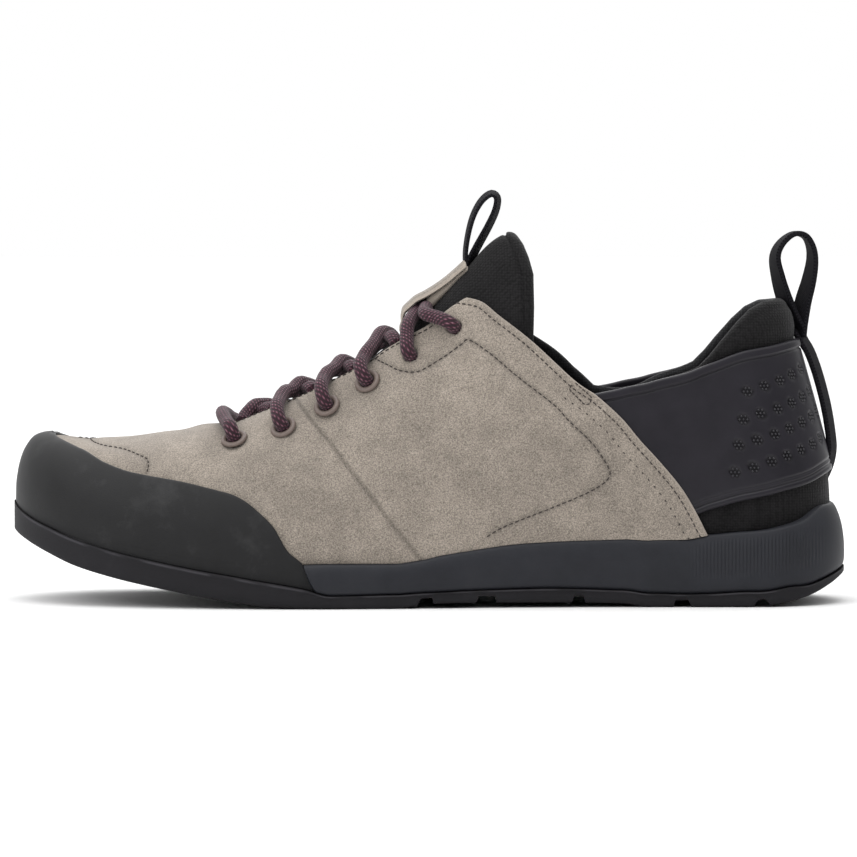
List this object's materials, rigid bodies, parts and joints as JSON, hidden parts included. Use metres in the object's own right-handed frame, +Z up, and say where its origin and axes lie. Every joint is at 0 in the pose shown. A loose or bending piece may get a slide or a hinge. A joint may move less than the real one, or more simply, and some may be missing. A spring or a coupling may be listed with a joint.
{
  "type": "casual shoe",
  "caption": "Low approach-style casual shoe for the left foot, grey suede upper with rubber toe rand, strapped heel, foam midsole and lugged rubber outsole, laced.",
  "frame": {"origin": "bottom centre of the bounding box, on the floor the shoe stands on", "axes": "+X from the heel to the toe, +Y to the outer side of the foot, +Z up"},
  "size_m": [0.28, 0.0982, 0.1367],
  "materials": {
    "suede": "napped suede, matte",
    "rand_rubber": "matte moulded",
    "outsole_rubber": "matte moulded",
    "foam": "satin moulded foam",
    "strap": "coated synthetic leather, satin",
    "mesh": "knitted mesh, matte",
    "footbed": "brushed textile, matte",
    "webbing": "woven tape, matte",
    "lace": "braided cord, matte",
    "eyelet": "painted ring, satin"
  },
  "bodies": {
    "root": {"upper": "suede", "toe_rand": "rand_rubber", "heel_strap": "strap", "midsole": "foam", "outsole": "outsole_rubber", "insole": "footbed", "tongue": "mesh", "tongue_keeper": "suede", "tongue_loop": "webbing", "heel_pull": "webbing", "eyelet_outer_1": "eyelet", "eyelet_outer_2": "eyelet", "eyelet_outer_3": "eyelet", "eyelet_outer_4": "eyelet", "eyelet_inner_1": "eyelet", "eyelet_inner_2": "eyelet", "eyelet_inner_3": "eyelet", "eyelet_inner_4": "eyelet", "lace_bar": "lace", "lace_cross_1": "lace", "lace_cross_2": "lace", "lace_cross_3": "lace", "lace_cross_4": "lace", "lace_cross_5": "lace"}
  },
  "joints": []
}
